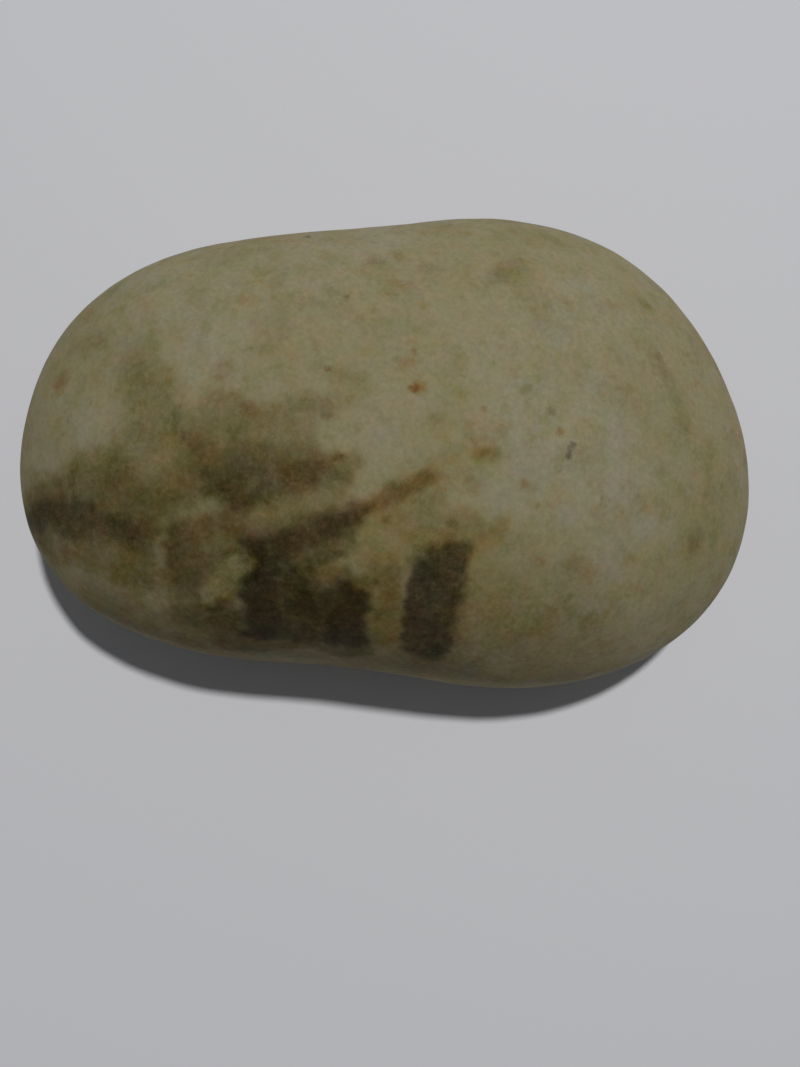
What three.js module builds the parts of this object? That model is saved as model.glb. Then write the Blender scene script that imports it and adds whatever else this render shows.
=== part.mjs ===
// A river cobble: one smooth, water-worn stone with an oval plan and a domed top, lying on its flatter
// side. It formed and wore down as a single piece, so it is a single closed solid.
//
// Millimetres, +Z up. The origin is the centre of the bounding box's bottom, on the flat it rests on;
// +X runs along the stone's length and +Y across its width.

import * as THREE from 'three';
import { mergeVertices } from 'three/addons/utils/BufferGeometryUtils.js';

// Driving dimensions.
const LENGTH = 137;
const WIDTH = 91;
const THICKNESS = 46;
const RIM_HEIGHT = 15;   // level of the widest section, where the upper dome meets the underside
const SEAT_DEPTH = 0.7;  // how far the worn resting flat cuts into the rounded underside

// The oval that the plan grows from near the middle of the stone, before its lobes.
const CORE_HALF_LENGTH = 65;
const CORE_HALF_WIDTH = 48.8;

// Lobes of the plan: [crests round the stone, height as a share of the radius, heading of one crest
// in degrees from +X]. Two crests draw the oval out, three make its +X end the fuller one, four
// square its shoulders, and five leave the faint waist along its back edge.
const LOBES = [
  [2, 0.085, 4],
  [3, 0.051, 66],
  [4, 0.034, 48],
  [5, 0.018, 70],
];

// Roundness of the side profile: 2 is an ellipse, and more is a squarer curve with a flatter end.
const DOME_FULLNESS = 2;
const UNDERSIDE_FULLNESS = 2.7;

// The widest section dips towards +X by this much per millimetre.
const RIM_SLOPE = 0.03;

// Broad swells and hollows of the worn surface: [heading in degrees from +X, elevation in degrees,
// height in mm (below zero for a hollow), breadth as a share of the stone's half size].
const SWELLS = [
  [20, 55, 0.9, 0.55],
  [140, 35, 0.8, 0.45],
  [240, 38, -0.7, 0.5],
  [325, 28, 0.8, 0.45],
  [80, -50, -0.6, 0.55],
  [230, -45, 0.6, 0.5],
];

// Each edge of the starting icosahedron is split into this many and one more.
const MESH_DETAIL = 16;

// Unit vector for a heading and an elevation in degrees.
function direction(heading, elevation) {
  const azimuth = THREE.MathUtils.degToRad(heading);
  const altitude = THREE.MathUtils.degToRad(elevation);
  return new THREE.Vector3(
    Math.cos(altitude) * Math.cos(azimuth),
    Math.cos(altitude) * Math.sin(azimuth),
    Math.sin(altitude),
  );
}

// The plan's radius, as a factor on the core oval, at a heading in radians. `reach` is 0 on the axis
// and 1 at the rim, and the lobes fade inwards with its square, which keeps the crown smooth.
function lobeFactor(heading, reach) {
  return LOBES.reduce((factor, [crests, height, crestHeading]) => {
    const phase = heading - THREE.MathUtils.degToRad(crestHeading);
    return factor + height * reach ** 2 * Math.cos(crests * phase);
  }, 1);
}

// The point of the worn surface that a unit vector faces: a half ellipsoid above the rim, a shallower
// and fuller one below it, both lobed in plan and then swollen, with the rim raised to RIM_HEIGHT.
function wornPoint(facing) {
  const isDome = facing.z > 0;
  const fullness = isDome ? DOME_FULLNESS : UNDERSIDE_FULLNESS;
  const depth = isDome ? THICKNESS - RIM_HEIGHT : RIM_HEIGHT + SEAT_DEPTH;
  const heading = Math.atan2(facing.y, facing.x);
  const reach = Math.hypot(facing.x, facing.y) ** (2 / fullness);
  const factor = lobeFactor(heading, reach);
  const point = new THREE.Vector3(
    CORE_HALF_LENGTH * reach * factor * Math.cos(heading),
    CORE_HALF_WIDTH * reach * factor * Math.sin(heading),
    Math.sign(facing.z) * depth * Math.abs(facing.z) ** (2 / fullness),
  );

  // Swells stand out along the normal of the ellipsoid that the stone roughly is.
  const normal = new THREE.Vector3(
    point.x / LENGTH ** 2,
    point.y / WIDTH ** 2,
    point.z / THICKNESS ** 2,
  ).normalize();
  for (const [swellHeading, elevation, height, breadth] of SWELLS) {
    const away = facing.distanceTo(direction(swellHeading, elevation));
    point.addScaledVector(normal, height * Math.exp(-((away / breadth) ** 2)));
  }

  point.z += RIM_HEIGHT - RIM_SLOPE * point.x;
  return point;
}

// The whole stone as one closed, faceted surface, cut flat at the floor and brought to its exact size.
function cobbleGeometry() {
  const ball = new THREE.IcosahedronGeometry(1, MESH_DETAIL);
  ball.deleteAttribute('normal');
  ball.deleteAttribute('uv');
  const geometry = mergeVertices(ball);
  const position = geometry.getAttribute('position');
  for (let i = 0; i < position.count; i += 1) {
    const facing = new THREE.Vector3().fromBufferAttribute(position, i).normalize();
    const point = wornPoint(facing);
    position.setXYZ(i, point.x, point.y, Math.max(point.z, 0));
  }
  geometry.computeBoundingBox();
  const size = geometry.boundingBox.getSize(new THREE.Vector3());
  const middle = geometry.boundingBox.getCenter(new THREE.Vector3());
  geometry.translate(-middle.x, -middle.y, 0);
  geometry.scale(LENGTH / size.x, WIDTH / size.y, THICKNESS / size.z);
  geometry.computeVertexNormals();
  return geometry;
}

const stone = new THREE.MeshStandardMaterial({ color: 0x9e9471, roughness: 0.75, metalness: 0 });

const cobble = new THREE.Mesh(cobbleGeometry(), stone);
cobble.name = 'cobble';

const model = new THREE.Group();
model.add(cobble);

export default model;
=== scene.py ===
import bpy
import numpy as np
from mathutils import Matrix, Vector


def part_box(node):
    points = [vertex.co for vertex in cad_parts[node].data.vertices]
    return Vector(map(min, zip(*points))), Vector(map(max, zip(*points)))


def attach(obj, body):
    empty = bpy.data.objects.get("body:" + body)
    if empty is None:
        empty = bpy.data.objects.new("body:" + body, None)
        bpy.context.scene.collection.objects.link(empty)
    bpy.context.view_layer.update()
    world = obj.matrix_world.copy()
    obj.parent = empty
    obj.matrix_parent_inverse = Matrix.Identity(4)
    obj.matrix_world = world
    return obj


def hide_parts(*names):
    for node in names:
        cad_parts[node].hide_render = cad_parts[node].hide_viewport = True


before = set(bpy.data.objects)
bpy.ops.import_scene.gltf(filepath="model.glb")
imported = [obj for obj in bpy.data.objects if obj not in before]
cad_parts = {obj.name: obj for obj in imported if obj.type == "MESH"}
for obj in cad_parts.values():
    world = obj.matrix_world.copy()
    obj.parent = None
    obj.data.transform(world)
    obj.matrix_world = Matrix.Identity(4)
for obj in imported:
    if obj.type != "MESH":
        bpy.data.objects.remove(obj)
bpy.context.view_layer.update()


# ---------------------------------------------------------------------------------------------
# Camera. It is held close above the stone, a little in front of it, and looks almost straight
# down, with the stone's length running across the picture.

MM = 0.001
CAMERA_PLACE = Vector((-13.5, -46.3, 166.0)) * MM
CAMERA_AIM = Vector((1.4, -14.0, 0.0)) * MM
CAMERA_LENS = 27.67


def aimed(place, aim):
    """The turn of a camera or lamp at `place` that looks at `aim` with +Y upwards in its picture:
    its right is the look crossed with +Y, and its up is that right crossed with the look."""
    look = (aim - place).normalized()
    right = look.cross(Vector((0, 1, 0))).normalized()
    up = right.cross(look)
    return Matrix((right, up, -look)).transposed().to_4x4()


def hung(name, data, place, aim):
    """Adds a camera or lamp at `place`, looking at `aim`."""
    thing = bpy.data.objects.new(name, data)
    bpy.context.scene.collection.objects.link(thing)
    thing.matrix_world = Matrix.Translation(place) @ aimed(place, aim)
    return thing


camera_data = bpy.data.cameras.new("camera")
camera_data.sensor_width = 36.0
camera_data.lens = CAMERA_LENS
camera_data.clip_start = 0.01
bpy.context.scene.camera = hung("camera", camera_data, CAMERA_PLACE, CAMERA_AIM)


# ---------------------------------------------------------------------------------------------
# Cobble. One solid, fine-grained stone that a river rolled until it was oval and matt-smooth.
# It has no parts: it wore down whole, and minerals later soaked into one side as dark stains.

RIM_HEIGHT = 15.0 * MM
SEAT_DEPTH = 0.7 * MM
CORE_HALF_LENGTH = 65.0 * MM
CORE_HALF_WIDTH = 48.8 * MM
RIM_SLOPE = 0.03
DOME_FULLNESS = 2.0
UNDERSIDE_FULLNESS = 2.7

# [crests round the stone, height as a share of the radius, heading of one crest in degrees]
LOBES = [(2, 0.085, 4), (3, 0.051, 66), (4, 0.034, 48), (5, 0.018, 70)]

# [heading and elevation in degrees, height in mm, breadth as a share of the half size]
SWELLS = [
    (20, 55, 0.9, 0.55),
    (140, 35, 0.8, 0.45),
    (240, 38, -0.7, 0.5),
    (325, 28, 0.8, 0.45),
    (80, -50, -0.6, 0.55),
    (230, -45, 0.6, 0.5),
]

# The wear is not quite even: broad soft facets, then faint dimples, then shallow knocks, each
# [wavelength in mm, height in mm, seed].
UNEVENNESS = [(26, 0.10, 3), (11, 0.04, 4), (4.5, 0.02, 5)]

SIDE_CELLS = 128


def cube_ball(cells):
    """Unit vectors of a cube blown up into a ball, and the quads that join them.

    Each of the six sides is a grid of two angles a and b that run from -45 to 45 degrees: its point
    is the side's outward axis, plus tan a of one edge axis, plus tan b of the other, brought to
    length one. Points that two or three sides share are merged, so the ball is closed."""
    slope = np.tan(np.linspace(-np.pi / 4, np.pi / 4, cells + 1))
    a, b = np.meshgrid(slope, slope, indexing="ij")
    number = np.arange((cells + 1) ** 2).reshape(cells + 1, cells + 1)
    cell = np.stack([number[:-1, :-1], number[1:, :-1], number[1:, 1:], number[:-1, 1:]], -1)
    points, quads = [], []
    for side in range(6):
        out = np.roll([1.0, 0.0, 0.0], side // 2) * (1 - 2 * (side % 2))
        first = np.roll([0.0, 1.0, 0.0], side // 2)
        second = np.cross(out, first)
        point = out + a[..., None] * first + b[..., None] * second
        quads.append(cell.reshape(-1, 4) + side * number.size)
        points.append(point.reshape(-1, 3))
    points = np.concatenate(points)
    points /= np.linalg.norm(points, axis=1, keepdims=True)
    _, kept, place = np.unique(np.round(points, 6), axis=0, return_index=True, return_inverse=True)
    return points[kept], place.reshape(-1)[np.concatenate(quads)]


def worn_stone(facing):
    """The point of the smooth stone that each unit vector faces, as the CAD solid has it.

    Above the rim it is a half ellipsoid, and below it a shallower and fuller one. Its plan is an
    oval times one plus the lobes, each a cosine round the stone that fades inwards with the square
    of the reach. Swells stand out along the normal as bell curves of the distance to their middle."""
    dome = facing[:, 2] > 0
    power = 2 / np.where(dome, DOME_FULLNESS, UNDERSIDE_FULLNESS)
    depth = np.where(dome, DOME_HEIGHT, RIM_HEIGHT + SEAT_DEPTH)
    heading = np.arctan2(facing[:, 1], facing[:, 0])
    reach = np.hypot(facing[:, 0], facing[:, 1]) ** power
    plan = 1 + sum(
        height * reach**2 * np.cos(crests * (heading - np.radians(crest)))
        for crests, height, crest in LOBES
    )
    point = np.stack([
        CORE_HALF_LENGTH * reach * plan * np.cos(heading),
        CORE_HALF_WIDTH * reach * plan * np.sin(heading),
        depth * np.sign(facing[:, 2]) * np.abs(facing[:, 2]) ** power,
    ], -1)
    normal = point / STONE_SIZE**2
    normal /= np.linalg.norm(normal, axis=1, keepdims=True)
    for turn, lift, height, breadth in np.array(SWELLS):
        turn, lift = np.radians([turn, lift])
        middle = [np.cos(lift) * np.cos(turn), np.cos(lift) * np.sin(turn), np.sin(lift)]
        away = np.linalg.norm(facing - middle, axis=1)
        point = point + normal * (height * MM * np.exp(-((away / breadth) ** 2)))[:, None]
    point[:, 2] += RIM_HEIGHT - RIM_SLOPE * point[:, 0]
    return point, normal


def ripple(points, wavelength, seed, waves=20):
    """Gentle random unevenness, mostly between -1 and 1: the sum of sine waves of one length that run
    through the points with seeded random headings and phases, scaled to a spread of 1 / 1.6."""
    random = np.random.default_rng(seed)
    headings = random.normal(size=(waves, 3))
    headings /= np.linalg.norm(headings, axis=1, keepdims=True)
    turns = points @ headings.T / wavelength + random.random(waves)
    return np.sin(2 * np.pi * turns).sum(1) * np.sqrt(2 / waves) / 1.6


low, high = (np.array(corner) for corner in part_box("cobble"))
STONE_SIZE = high - low
DOME_HEIGHT = STONE_SIZE[2] - RIM_HEIGHT

facing, quads = cube_ball(SIDE_CELLS)
surface, normal = worn_stone(facing)

relief = sum(height * ripple(surface, length * MM, seed) for length, height, seed in UNEVENNESS)
surface += normal * (relief * MM)[:, None]
surface[:, 2] = np.maximum(surface[:, 2], 0)  # the worn flat that it rests on

# Brought to the CAD solid's own box.
span = surface.max(0) - surface.min(0)
surface = low + (surface - surface.min(0)) * STONE_SIZE / span


def solid(name, points, faces):
    """A smooth-shaded mesh piece at the origin from an array of points and one of quads."""
    mesh = bpy.data.meshes.new(name)
    mesh.from_pydata(points.tolist(), [], faces.tolist())
    mesh.shade_smooth()
    piece = bpy.data.objects.new(name, mesh)
    bpy.context.scene.collection.objects.link(piece)
    return piece


cobble = solid("river_cobble", surface, quads)


# Where the stains lie, and a faint painted shade over the front, as brush strokes on the upper side.
# Each stroke is how deep its pigment lies, how softly its edge fades in mm, and its path: (x, y, half
# width) in mm from the stone's middle. A half width below zero makes the stroke thinner and fainter
# there.

STAINS_AND_PAINTED_SHADE = {
    "brown": [
        # painted shade: a faint brown darkening over the whole front, the side away from the lamp, and
        # the -X end
        (0.25, 16, [(-50, -38, 4), (-30, -42, 4), (5, -40, 8), (24, -38, 5)]),
        # the broad haze from the -X end to the middle, and on down to the rim
        (0.55, 7, [(-62, -16, 2), (-50, -22, 5), (-40, -24, 6), (-30, -24, 6)]),
        (0.45, 6, [
            (-50, -32, 1.5), (-40, -36, 2), (-28, -40, 3), (-15, -41, 3), (0, -42, 2.5), (10, -42, 1),
        ]),
        (0.5, 6, [(-53, -11.5, 0.4), (-47, -12.5, 1.5)]),
        (0.8, 4, [(-63, -19.5, 0.5), (-60.8, -22, 0.6)]),
        (0.85, 4.5, [
            (-64, -15.8, 0.8), (-56, -16.5, 2.2), (-48, -17, 3.0), (-38, -14, 4), (-30, -12.5, 3.5),
        ]),
        (0.85, 4, [(-44, -21, 2.5), (-35, -22.8, 2.5), (-28, -22, 2.5)]),
        (1.0, 3, [(-37.8, -22.5, 1.2), (-36.5, -27, 1.4), (-36, -31, 1.2)]),
        # the cloud above the haze, in its layers, and the faint arm that reaches back from it
        (0.5, 5, [(-42, -8, 1.0), (-34, -7, 1.5), (-26, -7, 1.5), (-19, -8.2, 0.8)]),
        (0.65, 4, [(-38.8, -8.5, 0.6), (-36.4, -12, 1.2)]),
        (0.75, 4.5, [(-33.5, -10, 0.6), (-27, -11.5, 1.8), (-20, -12.3, 1.6), (-14, -13.2, 0.6)]),
        (0.35, 4, [(-31, -3, 0.3), (-26, -5.5, 1.0), (-20, -5.5, 0.8), (-14, -3.5, 0.3)]),
        (0.3, 4, [(-24, -17.8, 1.0), (-14, -16.8, 1.2)]),
        (0.55, 3, [(-23, -16, 0.8), (-17, -15.3, 0.8)]),
        (0.4, 2.4, [(-12.5, -11.6, 0.4), (-9.8, -11.8, 0.4)]),
        (0.18, 4, [(-4, -20, 0.6), (1, -18.5, 0.8)]),
        (0.3, 6, [(-44.5, 4.5, 0.3), (-42, 0, 1), (-40, -4, 1.5), (-41, -8, 2.5)]),
        # the foot of the haze at the rim, and the line that runs over its top
        (1.1, 4, [(-36, -34, 1.0), (-31, -34.5, 2.0), (-27.5, -37.5, 3.0)]),
        (0.95, 2.4, [
            (-39.7, -21.2, 0.6), (-33, -20.8, 0.6), (-29.4, -20, 0.5), (-26.5, -18.2, 0.4),
            (-24, -16.6, 0.3),
        ]),
        # the streak, and what it spreads into
        (0.52, 2.0, [(1.8, -13.7, 0.1), (-1.5, -15.7, 0.4), (-5.6, -17.9, -0.4), (-9, -19.6, 0.8)]),
        (0.85, 2.6, [(-9, -19.6, 0.8), (-16, -21.8, 2.0), (-22, -25, 2.4)]),
        (0.75, 3, [(-21, -24, 2.5), (-14, -24.2, 1.6), (-11.2, -23, 0.8)]),
        # under the black columns and the bar, and between them
        (0.95, 2.5, [(-21, -26, 3.5), (-20, -31, 5.5), (-20, -36, 5.5)]),
        (0.95, 2.5, [(-11, -29.3, 1.6), (-10.4, -32, 2.6), (-10.6, -38.5, 3.6)]),
        (0.6, 3, [(4, -26, 3.2), (3.4, -32, 3.6), (3.2, -38.5, 5.2)]),
        (0.6, 2.2, [(-8.5, -29.5, 0.3), (-6, -28.8, 0.2)]),
        (0.55, 2.2, [(1.2, -26, 0.3), (2.8, -24, 0.3)]),
        (0.25, 2.6, [(1.5, -22.6, 0.6), (5, -21.5, 0.8), (7, -20.5, 0.4)]),
        (0.25, 2.4, [(8.5, -19.8, 0.4), (9.8, -21.6, 0.4)]),
        (0.45, 2.5, [(-4.5, -28, 1.2), (-3.8, -32, 1.5), (-4, -38, 1.5)]),
    ],
    "olive": [
        # green-brown washes and spots, and a faint painted shade; the last is over the patch that is
        # worn clean
        (0.15, 6, [(-44, 3, 1), (-41, -3, 1.5)]),
        (0.3, 4.0, [(-54, -10.5, 0.5), (-47, -11.5, 1.0)]),
        # painted shade: a faint olive darkening down the front of the +X end, which faces away from the
        # lamp
        (0.1, 12, [(46, -30, 1), (54, -14, 2)]),
        (0.35, 2.5, [(-46, -27.3, 1.2), (-44.5, -28.5, 1.0)]),
        (0.3, 3.0, [(-30, -14.5, 2.0)]),
        (0.35, 2.5, [(-17.5, -28, 1.5), (-17.5, -33, 0.5)]),
        (1.2, 2.0, [(-27.4, -26.4, 1.6), (-29.4, -29, 1.6), (-32.4, -31.4, 0.8)]),
    ],
    "rust": [
        # reddish edges and veins, where iron crept out of the brown
        (0.45, 1.6, [(-28, -21.8, 0.8), (-26.2, -22.4, 0.4)]),
        (0.35, 1.2, [(-26.9, -22.3, 0.2), (-30.8, -24.3, 0.3), (-33.6, -26.3, 0.2)]),
        (0.15, 2.2, [(-33, -2.2, 0.3), (-28, -3, 0.5), (-22, -2.6, 0.3), (-15, -2, 0.2)]),
        (0.15, 3, [(-34.5, -8.5, 0.8), (-32, -9.2, 0.5)]),
        (0.2, 2.2, [(-6.5, -18, 0.3), (-14, -21, 0.8), (-22, -24, 1)]),
        (0.25, 2.0, [(-37.5, -21.5, 0.8), (-32, -21.5, 1.0)]),
        (0.2, 2.0, [(-37.3, -24, 0.6), (-36.7, -29, 0.6)]),
        (0.4, 1.4, [(-33.2, -23.5, 0.3), (-33.4, -26.5, 0.4)]),
        (0.25, 2.5, [(-19, -13.5, 1.0), (-15, -13.5, 0.6)]),
        (0.3, 1.5, [(2.4, -13.2, 0.8), (-6, -18, 0.5)]),
    ],
    "ochre": [
        # yellow ground between the columns, round the bar, along the streak and on the clean patch
        (0.8, 2.4, [(-4.6, -28.5, 0.6), (-3.8, -33, 0.8), (-4.2, -37.5, 0.8)]),
        (0.65, 4.0, [(-9, -22.5, 0.5), (-4.5, -26, 1.5)]),
        (0.8, 1.4, [(9.8, -24.6, 0.3), (9.3, -28.5, 0.7), (8.6, -31, 0.4)]),
        (0.35, 4.5, [(0, -13.5, 0.3), (5, -11.3, 0.5), (10.5, -9.8, 0.6)]),
        (0.6, 1.8, [(2.2, -13.4, 0.6), (-7, -18.4, 0.5)]),
        (0.55, 4.5, [(0, -23, 0.8), (5, -22.2, 1.2), (8.5, -21.5, 1.2), (12.5, -22.5, 0.5)]),
        (0.4, 6, [(10, -28, 1), (12, -32, 2.5), (12, -36, 2)]),
        (0.7, 2.0, [(-13.3, -27.6, 0.8)]),
        (1.4, 2.5, [(-27.2, -26.4, 1.4), (-29.4, -29, 1.4), (-32.6, -31.4, 1)]),
        (0.4, 3.5, [(-23.5, -18, 0.6), (-14, -16.2, 0.8)]),
        (0.5, 4, [(-4, -20, 0.6), (1, -18.5, 0.8)]),
        (0.4, 4, [(-38.8, -8.5, 0.6), (-36.4, -12, 1.2)]),
        (0.7, 2, [(-8.5, -29.5, 0.4), (-6, -28.6, 0.4)]),
        (0.25, 3, [(-18, -12.5, 1), (-12, -12.5, 1)]),
        (0.35, 4, [(-50, -18.5, 1), (-44, -20.5, 1.5)]),
        (0.3, 4.0, [(-55, -24, 1.0), (-47, -24, 2.0), (-40, -17, 2.0)]),
    ],
    "black": [
        # the band at the -X end
        (0.75, 2.6, [(-64.5, -17.5, 0.8), (-60, -17.4, 1.2), (-54.5, -18.4, 2.2), (-51.5, -18.8, 1.2)]),
        (0.55, 3.2, [(-52, -19.8, 0.8), (-47, -20.4, 1.2), (-44.5, -21, 1.0)]),
        # the core of the cloud, and the darkest of the haze
        (0.4, 4.5, [(-31, -13.2, 0.4), (-25, -13.8, 1.0), (-18, -13.8, 0.6), (-14, -13.8, 0.2)]),
        (0.2, 2.5, [(-37.8, -22.5, 0.8), (-36.5, -27, 1.0), (-36, -30, 0.8)]),
        (0.12, 3.5, [(-35, -9.4, 0.3), (-32, -11, 0.6)]),
        (0.3, 3.0, [(-29.5, -14.4, 1.0), (-27.5, -16, 1.2)]),
        (0.35, 2.4, [(-22, -14.6, 0.4), (-17, -14.2, 0.6)]),
        # the streak
        (0.4, 1.4, [(-7.5, -19, 0.1), (-10, -20.4, 0.8)]),
        (0.7, 2.2, [
            (-10.4, -20.8, 0.6), (-15, -21.8, 1.0), (-20, -23.8, 1.2), (-23, -25.2, 1.4),
            (-25.8, -24, 0.6),
        ]),
        (0.3, 2.0, [(-14, -25, 0.8)]),
        # the two columns, and what joins them
        (0.4, 3, [(-31, -34, 0.6), (-26, -36, 1.4), (-18, -36.5, 1.2), (-9, -37, 1.0)]),
        (0.72, 3.0, [(-21.5, -28, 1.2), (-19, -31.5, 2.6), (-18, -35.5, 3.0), (-14, -35, 2.0)]),
        (0.9, 2, [(-13.6, -31.6, 0.4), (-13.6, -34, 0.8)]),
        (1.2, 2.2, [(-25.2, -24.8, 1.2), (-24.4, -28.5, 2.0), (-24.2, -32.5, 2.0), (-24.4, -36.4, 1.2)]),
        (1.15, 2.4, [(-10.6, -30, 0.4), (-10, -32.6, 1.8), (-10.2, -37.5, 2.0)]),
        # the bar
        (0.8, 2.6, [(3.4, -24.8, 0.1), (3.8, -26, 0.6), (6.6, -24.6, 0.6)]),
        (1.1, 2.2, [(4.2, -26.6, 0.9), (6.4, -25.8, 0.9)]),
        (1.12, 2.6, [(4.2, -27.4, 2.4), (3.4, -30.5, 2.6), (2.9, -34, 2.6), (3.0, -38, 3.0)]),
        (1.2, 1.8, [(2.0, -27.2, 0.8), (1.0, -31, 0.8), (0.0, -37, 0.8)]),
    ],
}

# Where the surface has been rubbed clean again, as strokes of the same kind.
WORN_OFF = [
    (0.55, 1.8, [(-39, -19.8, 0.5), (-36, -18.8, 0.5), (-32, -18.2, 0.6)]),
    (0.3, 1.6, [(-21, -17.8, 0.3), (-17, -17.4, 0.6), (-12.5, -16.4, 0.8)]),
    (0.78, 2.0, [(-27.4, -25.2, 0.4), (-27.8, -27.2, 1.6), (-29.5, -29, 1.7), (-32.8, -31.4, 1.1)]),
    (0.2, 1.4, [(-31.5, -23.6, 0.7), (-29.3, -23.2, 0.7)]),
    (0.3, 2.5, [(-41, -31.5, 1.0), (-36.5, -31.5, 1.0)]),
    (0.6, 1.5, [(-39.8, -23, 0.4), (-39.3, -25.5, 0.4)]),
]

# Marks finer than the mesh, which the material draws: the pigment, how deep it lies, half its width
# and how softly its edge fades in mm, and its path.
SMALL_MARKS = [
    # rusty specks, where grains of iron ore sat
    ("rust", 1.1, 0.3, 0.9, [(-0.1, 0.4)]),
    ("ochre", 1.0, 0.2, 1.6, [(0, 0.2)]),
    ("rust", 0.9, 0.1, 0.9, [(-14.2, 3.3)]),
    ("rust", 0.5, 0.1, 0.9, [(-0.3, 6.2)]),
    ("rust", 0.5, 0.1, 0.9, [(10.8, -2.5)]),
    ("rust", 0.6, 0.1, 1.0, [(23, -5.8)]),
    ("rust", 0.4, 0.1, 0.7, [(19.2, -17.6)]),
    ("rust", 0.5, 0.2, 1.0, [(17.2, -14.4)]),
    ("rust", 0.5, 0.2, 1.0, [(20.4, -25.9)]),
    ("rust", 0.25, 0.4, 2.4, [(26, -25.8), (29, -27.4)]),
    ("ochre", 0.25, 0.2, 2.2, [(12.5, -22.4), (9.2, -24.4)]),
    ("rust", 0.55, 0.5, 2.5, [(-58.6, 4.8)]),
    # brown, olive and ochre spots and smears
    ("brown", 0.25, 0.3, 1.4, [(9.8, -9.6), (12.2, -9.8)]),
    ("ochre", 0.4, 0.3, 1.6, [(9.8, -9.6), (12.2, -9.8)]),
    ("brown", 0.2, 0.2, 0.9, [(17.3, 0.5), (17.5, 1.6)]),
    ("brown", 0.3, 0.1, 0.7, [(12, 5.2)]),
    ("brown", 0.35, 0.2, 1.2, [(21.6, -2.2)]),
    ("brown", 0.14, 0.4, 2.0, [(13.6, -21)]),
    ("ochre", 0.25, 0.4, 2.0, [(13.4, -20.8), (14.4, -19.8)]),
    ("brown", 0.35, 0.1, 1.1, [(-4.8, -20.3)]),
    ("brown", 0.35, 0.3, 1.0, [(5.4, -20.2)]),
    ("brown", 0.3, 0.4, 1.6, [(-15.6, -26.8), (-13.4, -27)]),
    ("brown", 0.5, 0.1, 0.7, [(-11.4, 16)]),
    ("brown", 0.25, 0.3, 2.0, [(-6.4, 23.8)]),
    ("brown", 0.2, 0.4, 3.0, [(14.5, 22.4), (17.3, 24.2)]),
    ("brown", 0.16, 0.2, 2.4, [(42, 10), (44.6, 6), (46, 2), (46.6, -2)]),
    ("brown", 0.3, 0.4, 2.4, [(49.8, -20.4), (49.4, -21.4)]),
    ("brown", 0.15, 0.1, 0.7, [(-27.2, -2.7), (-25.8, -3.2)]),
    ("brown", 0.3, 0.1, 0.7, [(-15, -4.3), (-13.5, -4.5)]),
    ("olive", 0.2, 0.5, 2.8, [(18.3, -36.4), (20.3, -34)]),
    ("olive", 0.4, 0.4, 2.5, [(42.1, 21.5)]),
    ("ochre", 0.4, 0.2, 1.4, [(1.5, 14.9)]),
    ("ochre", 0.35, 0.2, 1.2, [(-12, -10.8)]),
    # dark specks, and a hairline crack that took up dirt
    ("black", 0.75, 0.02, 0.85, [(25, -7.4), (24.3, -9.6)]),
    ("black", 0.25, 0.05, 0.7, [(23, -11.7)]),
    ("black", 0.65, 0.15, 0.8, [(-17.4, 31.4)]),
    ("black", 0.4, 0.15, 1.0, [(-12, -10.8)]),
    ("black", 0.3, 0.15, 0.9, [(-5.8, -29.4)]),
    ("black", 0.35, 0.2, 1.0, [(-11.6, -24.9)]),
    ("black", 0.25, 0.2, 1.2, [(-37.3, -3), (-37, -5.8)]),
    ("black", 0.25, 0.02, 0.5, [(-36.2, -6.5), (-34.8, -8.8), (-33.6, -11), (-31.6, -14.4)]),
]


def crown_points(path):
    """The points of the upper surface that lie over each (x, y) of a stroke's path, in metres."""
    upper = surface[facing[:, 2] > 0]
    places = np.array([(x, y) for x, y, _ in path]) * MM
    nearest = [np.argmin(np.hypot(*(upper[:, :2] - place).T)) for place in places]
    return upper[nearest]


def stroke(points, path, softness):
    """How fully one stroke covers each point, 0 to 1. Along each straight run of the path it takes
    the distance to the run's nearest place, less the half width there, over the softness, and the
    cover falls from one to none over that as a smooth step."""
    stops = crown_points(path)
    halves = np.array([half for _, _, half in path]) * MM
    gap = np.linalg.norm(points - stops[0], axis=1) - halves[0]
    for start, end, half_start, half_end in zip(stops, stops[1:], halves, halves[1:]):
        run = end - start
        along = np.clip((points - start) @ run / (run @ run), 0, 1)
        away = np.linalg.norm(points - start - along[:, None] * run, axis=1)
        gap = np.minimum(gap, away - half_start - along * (half_end - half_start))
    rise = np.clip(1 - gap / (softness * MM), 0, 1)
    return rise * rise * (3 - 2 * rise)


# The strokes' edges wander, because the water that left the stains crept along the grain: in wide
# bends and in narrow ones, each [wavelength in mm, reach in mm, seed].
BENDS = [(9, 0.5, 21), (2.8, 0.35, 31)]

wander = np.stack([
    sum(reach * ripple(surface, length * MM, seed + axis) for length, reach, seed in BENDS)
    for axis in range(3)
], -1) * MM


def soaked(strokes):
    """How deep a pigment lies at each point, with the strokes laid over one another in turn."""
    depth = np.zeros(len(surface))
    for strength, softness, path in strokes:
        depth += (strength - depth) * stroke(surface + wander, path, softness)
    return depth


unworn = 1 - soaked(WORN_OFF)
depth_of = {pigment: soaked(strokes) * unworn for pigment, strokes in STAINS_AND_PAINTED_SHADE.items()}

# Underneath, where the stone lay on damp ground, it has browned a little in clouds.
DAMP_HEIGHT = 13 * MM
DAMP_FADE = 8 * MM
DAMP_DEPTH = 0.45

clouding = 0.3 + ripple(surface, 24 * MM, seed=31) + 0.6 * ripple(surface, 8 * MM, seed=32)
near_ground = np.clip((DAMP_HEIGHT - surface[:, 2]) / DAMP_FADE, 0, 1)
depth_of["brown"] += DAMP_DEPTH * np.clip(clouding, 0, 1) * near_ground

for pigment, depth in depth_of.items():
    stain_and_shade_layer = cobble.data.attributes.new(pigment, "FLOAT", "POINT")
    stain_and_shade_layer.data.foreach_set("value", depth)


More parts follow.
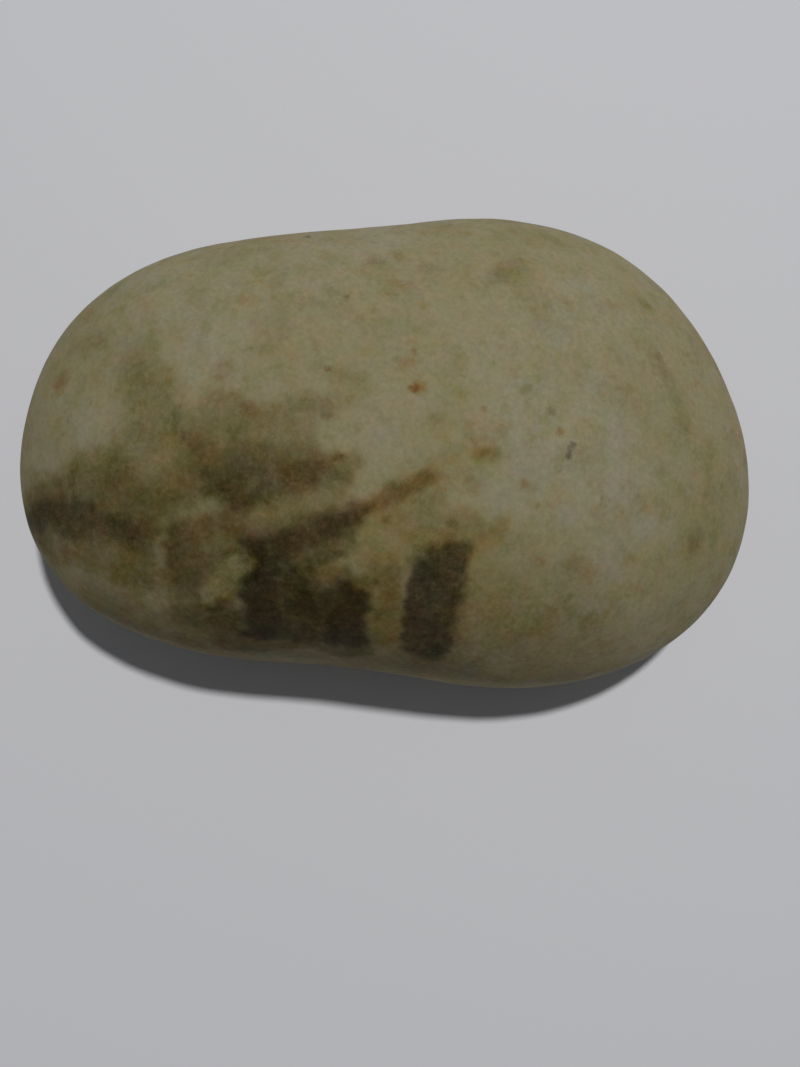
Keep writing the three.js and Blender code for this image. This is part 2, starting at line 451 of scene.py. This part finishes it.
class Finish:
    """A node material that is written from the pattern up to the shader."""

    def __init__(self, name):
        self.material = bpy.data.materials.new(name)
        self.material.use_nodes = True
        self.nodes = self.material.node_tree.nodes
        self.shader = self.nodes["Principled BSDF"]
        self.place = self.add("ShaderNodeTexCoord").outputs["Object"]

    def add(self, kind, inputs=None, **settings):
        """A node with its settings made, and each named input set to a value or joined to a socket."""
        node = self.nodes.new(kind)
        for name, value in settings.items():
            setattr(node, name, value)
        for name, value in (inputs or {}).items():
            self.put(node.inputs[name], value)
        return node

    def put(self, socket, value):
        """Joins a socket to another, or sets it to a number, a vector or a colour."""
        if isinstance(value, bpy.types.NodeSocket):
            self.material.node_tree.links.new(value, socket)
        elif isinstance(value, tuple) and len(socket.default_value) == 4:
            socket.default_value = (*value, 1.0)
        else:
            socket.default_value = value

    def noise(self, size, detail=3.0, roughness=0.5, shift=0.0, output="Fac"):
        """Cloudy noise, 0 to 1 about 0.5, whose patches are about `size` mm wide."""
        inputs = {"Vector": self.place, "Scale": 1 / (size * MM), "Detail": detail,
                  "Roughness": roughness, "W": shift}
        return self.add("ShaderNodeTexNoise", inputs, noise_dimensions="4D").outputs[output]

    def math(self, operation, *values):
        """One step of arithmetic on numbers or sockets."""
        node = self.add("ShaderNodeMath", operation=operation)
        for socket, value in zip(node.inputs, values):
            self.put(socket, value)
        return node.outputs[0]

    def vector(self, operation, *values):
        """One step of arithmetic on places, runs or colours."""
        node = self.add("ShaderNodeVectorMath", operation=operation)
        for socket, value in zip(node.inputs, values):
            self.put(socket, value)
        return node.outputs["Value" if operation in ("DISTANCE", "DOT_PRODUCT") else "Vector"]

    def between(self, value, low, high, start=0.0, end=1.0):
        """`value` mapped so that low gives start and high gives end, along a smooth step."""
        inputs = {"Value": value, "From Min": low, "From Max": high, "To Min": start, "To Max": end}
        node = self.add("ShaderNodeMapRange", inputs, interpolation_type="SMOOTHSTEP")
        return node.outputs["Result"]

    def mix(self, amount, first, second, blend="MIX"):
        """Colours mixed by an amount from 0 to 1."""
        node = self.add("ShaderNodeMix", data_type="RGBA", blend_type=blend)
        colour_sockets = node.inputs[0], node.inputs[6], node.inputs[7]
        for socket, value in zip(colour_sockets, (amount, first, second)):
            self.put(socket, value)
        return node.outputs[2]

    def glazed(self, colour, glaze, depth):
        """A colour seen through a glaze: the glaze's own colour to the power of its depth."""
        layer = self.add("ShaderNodeGamma", {"Color": glaze, "Gamma": depth})
        return self.mix(1.0, colour, layer.outputs["Color"], "MULTIPLY")

    def mark(self, place, stops, half, softness, depth):
        """How deep a mark lies, worked out as in stroke: the distance from `place` to the nearest of
        the runs between its stops, less half its width, fades it out over its softness."""
        away = self.vector("DISTANCE", place, tuple(stops[0]))
        for start, run in zip(stops, np.diff(stops, axis=0)):
            passed = self.vector("SUBTRACT", place, tuple(start))
            along = self.vector("DOT_PRODUCT", passed, tuple(run / (run @ run)))
            along = self.add("ShaderNodeClamp", {"Value": along}).outputs["Result"]
            nearest = self.vector("MULTIPLY_ADD", tuple(run), along, tuple(start))
            away = self.math("MINIMUM", away, self.vector("DISTANCE", place, nearest))
        return self.between(away, half * MM, (half + softness) * MM, depth, 0.0)


# The stone's own colours, which run into each other in broad clouds.
KHAKI = (0.322, 0.28, 0.158)
GREY_BUFF = (0.345, 0.313, 0.208)
OLIVE_BUFF = (0.288, 0.256, 0.13)

# Fainter stains lie all over in blotches and flecks, where cloudy noise rises above a level: the
# pigment, the noise's size in mm, the level and how deep the pigment lies well above it.
BLOTCHES = [
    ("brown", 8.0, 0.5, 0.12),
    ("brown", 2.2, 0.6, 0.25),
    ("olive", 4.5, 0.52, 0.16),
    ("rust", 3.5, 0.54, 0.2),
    ("ochre", 7.0, 0.48, 0.25),
]
BLOTCH_EDGE = 0.17

# What is left of white light, one pigment depth down.
GLAZES = {
    "brown": (0.415, 0.365, 0.245),
    "olive": (0.42, 0.46, 0.2),
    "rust": (0.74, 0.51, 0.33),
    "ochre": (0.8, 0.7, 0.42),
    "black": (0.383, 0.363, 0.335),
}

# How crooked the small marks are, how unevenly the pigments take, and how far they break up into
# specks at a stain's edge.
CROOKEDNESS = 2 * MM
UNEVEN_TAKE = 0.8
EDGE_BREAK = 0.6

# How far the hue wavers in red, green and blue, and the strength of the grain. The waver grows with
# the stain's depth, up to a limit.
HUE_WAVER = (0.4, 0.1, 0.5)
STAIN_WAVER = 1.4
DEEPEST_WAVER = 1.5
GRAIN = 0.65
MIDDLE = (0.5, 0.5, 0.5)

worn = Finish("worn_stone")
stone = worn.mix(worn.between(worn.noise(30, 4, 0.55), 0.4, 0.68), KHAKI, GREY_BUFF)
stone = worn.mix(worn.between(worn.noise(17, 5, 0.6, shift=3), 0.48, 0.75), stone, OLIVE_BUFF)

# The small marks are drawn a little crooked.
crooked = worn.vector("SUBTRACT", worn.noise(1.6, 3, 0.6, shift=1, output="Color"), MIDDLE)
crooked = worn.vector("MULTIPLY_ADD", crooked, (CROOKEDNESS,) * 3, worn.place)
depths = {
    pigment: worn.add("ShaderNodeAttribute", attribute_name=pigment).outputs["Fac"]
    for pigment in GLAZES
}
for pigment, depth, half, softness, path in SMALL_MARKS:
    stops = crown_points([(x, y, half) for x, y in path]).tolist()
    small = worn.mark(crooked, np.array(stops), half, softness, depth)
    depths[pigment] = worn.math("ADD", depths[pigment], small)

for index, (pigment, size, level, depth) in enumerate(BLOTCHES):
    cloud = worn.noise(size, 4, 0.6, shift=20 + index)
    blotch = worn.between(cloud, level, level + BLOTCH_EDGE, 0.0, depth)
    depths[pigment] = worn.math("ADD", depths[pigment], blotch)

# Each pigment takes unevenly, in clouds and in specks, and breaks up into specks at its edges.
clouds = worn.math("SUBTRACT", worn.noise(4.5, 6, 0.7, shift=5), 0.5)
specks = worn.math("SUBTRACT", worn.noise(1.1, 4, 0.75, shift=7), 0.5)
uneven = worn.math("MULTIPLY_ADD", specks, UNEVEN_TAKE, 1.0)
uneven = worn.math("MULTIPLY_ADD", clouds, UNEVEN_TAKE, uneven)
whole_depth = 0.0
for pigment, glaze in GLAZES.items():
    edge = worn.math("MULTIPLY", specks, worn.between(depths[pigment], 0.0, 0.35, 0.0, EDGE_BREAK))
    depth = worn.math("MULTIPLY_ADD", depths[pigment], uneven, edge)
    depth = worn.math("MAXIMUM", depth, 0.0)
    stone = worn.glazed(stone, glaze, depth)
    whole_depth = worn.math("ADD", depth, whole_depth)

# The hue wavers and the grain shows everywhere, and more where the stain is deep.
grain = worn.math("SUBTRACT", worn.noise(0.9, 4, 0.7), 0.5)
grain = worn.math("MULTIPLY", grain, GRAIN)
stronger = worn.math("MINIMUM", whole_depth, DEEPEST_WAVER)
stronger = worn.math("MULTIPLY_ADD", stronger, STAIN_WAVER, 1.0)
waver = worn.vector("SUBTRACT", worn.noise(4, 5, 0.65, shift=9, output="Color"), MIDDLE)
waver = worn.vector("MULTIPLY", waver, HUE_WAVER)
waver = worn.vector("MULTIPLY_ADD", waver, stronger, (1.0, 1.0, 1.0))
waver = worn.vector("ADD", waver, grain)
stone = worn.mix(1.0, stone, waver, "MULTIPLY")

# Matt all over, a little more polished in places, with pores too fine for the mesh.
POLISHED, DULL = 0.66, 0.82
PORE_SIZE = 0.8
PORE_DEPTH = 0.2 * MM

worn.put(worn.shader.inputs["Base Color"], stone)
polish = worn.between(worn.noise(6, 4, 0.6), 0.3, 0.7, POLISHED, DULL)
worn.put(worn.shader.inputs["Roughness"], polish)
worn.shader.inputs["Specular IOR Level"].default_value = 0.15
pores = {"Height": worn.noise(PORE_SIZE, 5, 0.65), "Strength": 0.25, "Distance": PORE_DEPTH}
bump = worn.add("ShaderNodeBump", pores)
worn.put(worn.shader.inputs["Normal"], bump.outputs["Normal"])
cobble.data.materials.append(worn.material)

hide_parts("cobble")
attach(cobble, "root")


# ---------------------------------------------------------------------------------------------
# Floor and light. A plain pale sheet under the stone, and one soft lamp high over its far right,
# with a little light from all round.

FLOOR_HALF = 1.5
FLOOR_COLOUR = (0.77, 0.77, 0.79)
LAMP_PLACE = Vector((0.12, 0.34, 1.15))
LAMP_ACROSS = 0.09
LAMP_WATTS = 8.0
SKY_COLOUR = (0.88, 0.92, 1.0)
SKY_STRENGTH = 0.10

floor_mesh = bpy.data.meshes.new("floor")
corners = np.array([(-1, -1, 0), (1, -1, 0), (1, 1, 0), (-1, 1, 0)]) * FLOOR_HALF
floor_mesh.from_pydata(corners.tolist(), [], [(0, 1, 2, 3)])
floor = bpy.data.objects.new("floor", floor_mesh)
bpy.context.scene.collection.objects.link(floor)
floor_finish = Finish("pale_floor")
floor_finish.shader.inputs["Base Color"].default_value = (*FLOOR_COLOUR, 1.0)
floor_finish.shader.inputs["Roughness"].default_value = 0.9
floor_mesh.materials.append(floor_finish.material)

lamp_data = bpy.data.lights.new("lamp", "AREA")
lamp_data.shape = "DISK"
lamp_data.size = LAMP_ACROSS
lamp_data.energy = LAMP_WATTS
hung("lamp", lamp_data, LAMP_PLACE, Vector((0, 0, 0)))

world = bpy.data.worlds.new("surroundings")
world.use_nodes = True
sky = world.node_tree.nodes["Background"]
sky.inputs["Color"].default_value = (*SKY_COLOUR, 1.0)
sky.inputs["Strength"].default_value = SKY_STRENGTH
bpy.context.scene.world = world
bpy.context.scene.view_settings.view_transform = "Standard"
